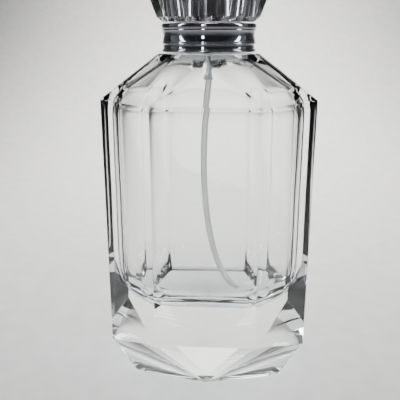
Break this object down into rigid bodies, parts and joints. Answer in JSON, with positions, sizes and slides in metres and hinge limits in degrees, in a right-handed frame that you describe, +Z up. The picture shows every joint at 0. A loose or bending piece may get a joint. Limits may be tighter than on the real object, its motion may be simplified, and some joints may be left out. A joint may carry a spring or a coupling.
{
  "type": "perfume bottle",
  "caption": "Octagonal clear glass perfume bottle with a cut base, chromed collar, fine-mist pump and flared faceted pull-off cap.",
  "frame": {"origin": "middle of the flat face that the bottle stands on", "axes": "+Z up through the neck and cap, +X towards the right narrow side face, -Y out of the front face and the nozzle"},
  "size_m": [0.062, 0.044, 0.135],
  "materials": {
    "bottle_glass": "polished clear",
    "cap_acrylic": "polished clear acrylic",
    "collar_chrome": "dark mirror chrome",
    "liner_metal": "metallised mirror",
    "ferrule_aluminium": "satin",
    "spring_steel": "drawn wire",
    "natural_plastic": "unpigmented moulded plastic",
    "tube_plastic": "translucent extruded tube",
    "white_plastic": "moulded",
    "seal_rubber": "matte"
  },
  "bodies": {
    "bottle": {"glass_bottle": "bottle_glass", "neck_gasket": "seal_rubber", "crimp_ferrule": "ferrule_aluminium", "collar_insert": "white_plastic", "collar_ring": "collar_chrome", "pump_housing": "natural_plastic", "turret": "natural_plastic", "stem_seal": "seal_rubber", "return_spring": "spring_steel", "dip_tube": "tube_plastic"},
    "inlet_ball": {"inlet_ball": "spring_steel"},
    "stem": {"stem": "white_plastic", "piston": "white_plastic", "valve_core": "white_plastic"},
    "actuator": {"actuator": "white_plastic", "actuator_sleeve": "collar_chrome", "nozzle_insert": "white_plastic"},
    "cap": {"cap_shell": "cap_acrylic", "cap_liner": "liner_metal", "cap_insert": "white_plastic"}
  },
  "joints": [
    {"name": "actuator_press", "type": "slide", "parent": "bottle", "child": "stem", "axis": [0, 0, -1], "range_m": [0, 0.0045], "stiffness_N_per_m": 2000, "springref_m": -0.0015, "deforming": ["return_spring"]},
    {"name": "nozzle_turn", "type": "hinge", "parent": "stem", "child": "actuator", "pos_m": [0, 0, 0.118], "axis": [0, 0, 1], "continuous": true},
    {"name": "ball_lift", "type": "slide", "parent": "bottle", "child": "inlet_ball", "axis": [0, 0, 1], "range_m": [0, 0.0006]},
    {"name": "cap_pull", "type": "slide", "parent": "bottle", "child": "cap", "axis": [0, 0, 1], "range_m": [0, 0.045]}
  ]
}
